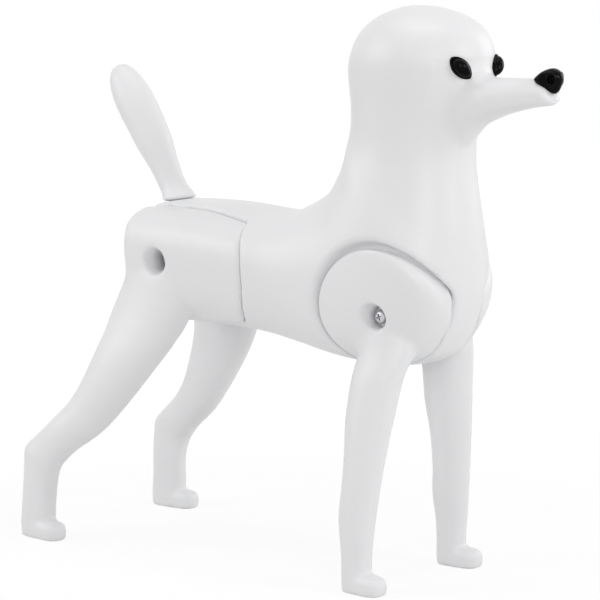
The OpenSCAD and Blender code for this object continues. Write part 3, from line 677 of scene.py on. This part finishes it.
screw = {
    "seat": 21.62, "length": 24, "threadR": 2.5, "rootR": 2.1, "pitch": 0.8, "headR": 4.75,
    "headH": 3.6, "edge": 1.5, "crossL": 5.8, "crossW": 1.3, "crossDepth": 2.1, "crossTurn": 20,
}


def slotTool(place, top, turn):  # one tapered slot of the cross
    s = screw
    mesh = bmesh.new()
    for v in bmesh.ops.create_cube(mesh, size=2)["verts"]:
        draft = 0.5 if v.co.z > 0 else 0.28
        x, y, z = v.co
        v.co = Vector((x * s["crossL"] * draft, y * s["crossW"] * draft, z * s["crossDepth"])) * mm
    lift = Matrix.Translation((0, 0, top * mm))
    spin = Matrix.Rotation(math.radians(turn), 4, "Z")
    bmesh.ops.transform(mesh, matrix=place @ lift @ spin, verts=mesh.verts)
    return pieceFrom(mesh, "slot")


def makeScrews(name, x, z, floorY):
    s = screw
    rootR, threadR, headR = s["rootR"], s["threadR"], s["headR"]
    under = floorY + s["seat"]
    tip, edge, top = under - s["length"], under + s["edge"], under + s["headH"]
    profile = [(0, tip), (rootR - 0.5, tip)]
    for i in range(int((s["length"] - 3) / s["pitch"])):  # thread
        low = tip + 0.6 + i * s["pitch"]
        profile += [(rootR, low), (threadR, low + 0.35), (threadR, low + 0.45)]
    profile += [(rootR, under - 2), (threadR, under - 1.6), (threadR, under), (headR - 0.2, under),
                (headR, under + 0.2), (headR, edge)]
    for angle in (15, 30, 45, 60, 75, 85):  # pan head
        c, up = math.cos(math.radians(angle)), math.sin(math.radians(angle))
        profile.append((headR * (0.45 + 0.55 * c), edge + (s["headH"] - s["edge"]) * up))
    profile.append((0, top))
    parts = []
    for side in (-1, 1):
        place = onPivot(x, z, side)
        cross = [slotTool(place, top, s["crossTurn"] + quarter) for quarter in (0, 90)]
        parts.append(carve(turned("panScrew", profile, place, 40), cross))
    return gather(name, parts)


shoulderScrews = makeScrews("shoulderScrews", fore["pivotX"], fore["pivotZ"], fore["floorY"])
hipScrews = makeScrews("hipScrews", -hind["hipX"], hind["pivotZ"], hind["floorY"])
print("screws", len(shoulderScrews.data.polygons))


# finishes

class Wire:  # one output, on which sums can be written
    def __init__(self, finish, socket):
        self.finish, self.socket = finish, socket

    def sum(self, kind, left, right):
        return self.finish.node("ShaderNodeMath", {"operation": kind}, {0: left, 1: right})

    def __add__(self, other):
        return self.sum("ADD", self, other)

    def __mul__(self, other):
        return self.sum("MULTIPLY", self, other)

    __radd__, __rmul__ = __add__, __mul__


class Finish:
    def __init__(self, name, tree=None):
        self.material = None
        if tree is None:
            self.material = bpy.data.materials.new(name)
            self.material.use_nodes = True
            tree = self.material.node_tree
        self.tree = tree
        self.tree.nodes.clear()

    def node(self, kind, settings=None, sockets=None, output=0):
        made = self.tree.nodes.new(kind)
        for key, value in (settings or {}).items():
            setattr(made, key, value)
        for key, value in (sockets or {}).items():
            if isinstance(value, Wire):
                self.tree.links.new(value.socket, made.inputs[key])
            else:
                made.inputs[key].default_value = value
        return Wire(self, made.outputs[output])

    def shown(self, surface, kind="ShaderNodeOutputMaterial"):
        end = self.tree.nodes.new(kind)
        self.tree.links.new(surface.socket, end.inputs["Surface"])
        return self.material


def noise(f, scale, detail=3.0, rough=0.5):
    place = f.node("ShaderNodeTexCoord", output="Object")
    grain = {"Vector": place, "Scale": scale, "Detail": detail, "Roughness": rough}
    return f.node("ShaderNodeTexNoise", {}, grain)


def blend(f, share, deep, pale):
    return f.node("ShaderNodeMix", {"data_type": "RGBA"}, {0: share, 6: deep, 7: pale}, 2)


def skin(f, tone, rough, others):
    sockets = {"Base Color": tone, "Roughness": rough, **others}
    return f.shown(f.node("ShaderNodeBsdfPrincipled", {}, sockets))


whiteShell = {
    "pale": (0.83, 0.83, 0.84, 1), "deep": (0.795, 0.795, 0.805, 1), "roughLow": 0.34,
    "roughSpan": 0.1, "grain": 0.02, "grainDepth": 0.0004, "shine": 0.4,
}


def whitePlastic():
    f = Finish("whitePlastic")
    w = whiteShell
    cloud = noise(f, 14, 4)
    fine = noise(f, 900, 2)
    swirl = noise(f, 60, 5)
    tone = blend(f, cloud, w["deep"], w["pale"])
    rough = w["roughLow"] + w["roughSpan"] * swirl
    relief = {"Strength": w["grain"], "Distance": w["grainDepth"], "Height": fine}
    bump = f.node("ShaderNodeBump", {}, relief)
    return skin(f, tone, rough, {"Normal": bump, "Specular IOR Level": w["shine"]})


blackEye = {
    "deep": (0.001, 0.001, 0.0012, 1), "lift": (0.003, 0.0027, 0.0027, 1), "roughLow": 0.1,
    "roughSpan": 0.06, "shine": 0.06,
}


def blackGloss():
    f = Finish("blackGloss")
    b = blackEye
    cloud = noise(f, 240, 3)
    tone = blend(f, cloud, b["deep"], b["lift"])
    rough = b["roughLow"] + b["roughSpan"] * noise(f, 700, 2)
    return skin(f, tone, rough, {"Specular IOR Level": b["shine"]})


def hardware(name, pale, deep, metal, low, span):
    f = Finish(name)
    streak = noise(f, 500, 4)
    tone = blend(f, streak, deep, pale)
    rough = low + span * noise(f, 1200, 2)
    return skin(f, tone, rough, {"Metallic": metal})


shellFinish = whitePlastic()
glossFinish = blackGloss()
steelFinish = hardware("zincSteel", (0.62, 0.62, 0.64, 1), (0.5, 0.5, 0.52, 1), 1.0, 0.28, 0.16)
brassFinish = hardware("brass", (0.78, 0.6, 0.3, 1), (0.66, 0.48, 0.22, 1), 1.0, 0.26, 0.14)
greyFinish = hardware("greyPlastic", (0.2, 0.2, 0.21, 1), (0.16, 0.16, 0.165, 1), 0.0, 0.42, 0.12)
plainFinish = hardware("plainPlastic", (0.62, 0.61, 0.58, 1), (0.55, 0.54, 0.51, 1), 0.0, 0.4, 0.12)


def dress(piece, finish, bodyName, slot, *nodes):
    piece.data.materials.clear()
    piece.data.materials.append(finish)
    for face in piece.data.polygons:
        face.use_smooth = True
    piece.data.set_sharp_from_angle(angle=math.radians(sharpAngle))
    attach(piece, bodyName)
    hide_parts(*nodes)


dress(bodyRight, shellFinish, "torso", "white_plastic", "body_shell_right")
dress(bodyLeft, shellFinish, "torso", "white_plastic", "body_shell_left")
dress(frontLegRight, shellFinish, "front_right_leg", "white_plastic", "front_leg_right")
dress(frontLegLeft, shellFinish, "front_left_leg", "white_plastic", "front_leg_left")
dress(hindLegRight, shellFinish, "hind_right_leg", "white_plastic", "hind_leg_right")
dress(hindLegLeft, shellFinish, "hind_left_leg", "white_plastic", "hind_leg_left")
dress(tailPiece, shellFinish, "tail", "white_plastic", "tail")
dress(eyeRight, glossFinish, "torso", "black_gloss", "eye_right")
dress(eyeLeft, glossFinish, "torso", "black_gloss", "eye_left")
dress(nosePiece, glossFinish, "torso", "black_gloss", "nose")
dress(shoulderScrews, steelFinish, "torso", "steel", "shoulder_screws")
dress(hipScrews, steelFinish, "torso", "steel", "hip_screws")

cadFinishes = {
    "tail_peg": plainFinish,
    "tail_bush": greyFinish,
    "eye_retainer_right": plainFinish,
    "eye_retainer_left": plainFinish,
    "dowels": plainFinish,
    "flat_washers": steelFinish,
    "spring_washers": steelFinish,
    "threaded_inserts": brassFinish,
}
for node, finish in cadFinishes.items():
    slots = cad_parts[node].data.materials
    for i in range(len(slots)):
        slots[i] = finish
print("finishes on", len(bpy.data.materials), "materials")


# floor, light and camera

white = (1, 1, 1, 1)
stage = {
    "floor": 6.0, "floorDeep": (0.79, 0.79, 0.79, 1), "floorPale": (0.81, 0.81, 0.81, 1),
    "glow": 1.05, "floorLift": 0.82, "fadeFrom": 0.3, "fadeTo": 0.8,
    "world": 0.4, "backdrop": 1.0, "key": 12, "lampAim": (0, 0, 0.2),
}


def seenRays(f):  # seen by the camera, in a mirror or through glass
    sources = f.node("ShaderNodeLightPath").socket.node.outputs
    seen = Wire(f, sources["Is Camera Ray"])
    for name in ("Is Glossy Ray", "Is Transmission Ray"):
        pair = {0: seen, 1: Wire(f, sources[name])}
        seen = f.node("ShaderNodeMath", {"operation": "MAXIMUM"}, pair)
    return seen


def paleFloor():
    f = Finish("paleFloor")
    seen = seenRays(f)
    tone = blend(f, noise(f, 30, 2), stage["floorDeep"], stage["floorPale"])
    matt = f.node("ShaderNodeBsdfDiffuse", {}, {"Color": tone})
    glow = f.node("ShaderNodeEmission", {}, {"Color": white, "Strength": stage["glow"]})
    place = f.node("ShaderNodeTexCoord", output="Object")
    away = f.node("ShaderNodeVectorMath", {"operation": "LENGTH"}, {0: place}, "Value")
    fade = {"Value": away, "From Min": stage["fadeFrom"], "From Max": stage["fadeTo"]}
    lift = f.node("ShaderNodeMapRange", {}, {**fade, "To Min": stage["floorLift"], "To Max": 1.0})
    pale = f.node("ShaderNodeMixShader", {}, {0: lift, 1: matt, 2: glow})
    return f.shown(f.node("ShaderNodeMixShader", {}, {0: seen, 1: matt, 2: pale}))


def makeFloor():
    mesh = bmesh.new()
    bmesh.ops.create_grid(mesh, x_segments=4, y_segments=4, size=stage["floor"] / 2)
    floor = pieceFrom(mesh, "floor")
    floor.data.materials.append(paleFloor())


def makeWorld():
    world = bpy.data.worlds.new("studio")
    bpy.context.scene.world = world
    world.use_nodes = True
    f = Finish("studio", world.node_tree)
    seen = seenRays(f)
    dim = f.node("ShaderNodeBackground", {}, {"Color": white, "Strength": stage["world"]})
    plain = f.node("ShaderNodeBackground", {}, {"Color": white, "Strength": stage["backdrop"]})
    f.shown(f.node("ShaderNodeMixShader", {}, {0: seen, 1: dim, 2: plain}), "ShaderNodeOutputWorld")


softboxes = {  # share of the key strength
    "frontLight": {"place": (1.7, 0.3, 0.9), "size": 0.6, "share": 0.6},
    "crossLight": {"place": (0.7, 1.7, 0.8), "size": 0.9, "share": 0.5},
    "sideLight": {"place": (1.5, -1.2, 0.7), "size": 0.7, "share": 0.6},
    "rearLight": {"place": (-1.3, -1.4, 0.9), "size": 1.2, "share": 1},
    "topLight": {"place": (0.0, -0.1, 2.2), "size": 1.4, "share": 1},
}


def softbox(name, place, size, power):
    aim = Vector(stage["lampAim"])
    lamp = bpy.data.lights.new(name, "AREA")
    lamp.shape, lamp.size, lamp.energy = "SQUARE", size, power
    box = bpy.data.objects.new(name, lamp)
    box.location = place
    box.rotation_euler = (aim - Vector(place)).to_track_quat("-Z", "Y").to_euler()
    bpy.context.scene.collection.objects.link(box)


shot = {"turn": 40, "rise": 8, "aim": (-0.008, 0, 0.188), "reach": 2.0, "lens": 168, "sensor": 36}


def makeCamera():
    turn, rise = math.radians(shot["turn"]), math.radians(shot["rise"])
    back = Vector((math.sin(turn) * math.cos(rise), -math.cos(turn) * math.cos(rise), math.sin(rise)))
    camera = bpy.data.objects.new("camera", bpy.data.cameras.new("camera"))
    camera.data.lens, camera.data.sensor_width = shot["lens"], shot["sensor"]
    camera.location = Vector(shot["aim"]) + back * shot["reach"]
    camera.rotation_euler = (-back).to_track_quat("-Z", "Y").to_euler()
    bpy.context.scene.collection.objects.link(camera)
    bpy.context.scene.camera = camera


makeFloor()
makeWorld()
for name, box in softboxes.items():
    softbox(name, box["place"], box["size"], stage["key"] * box["share"])
makeCamera()
bpy.context.scene.view_settings.view_transform = "Standard"
print("stage set")
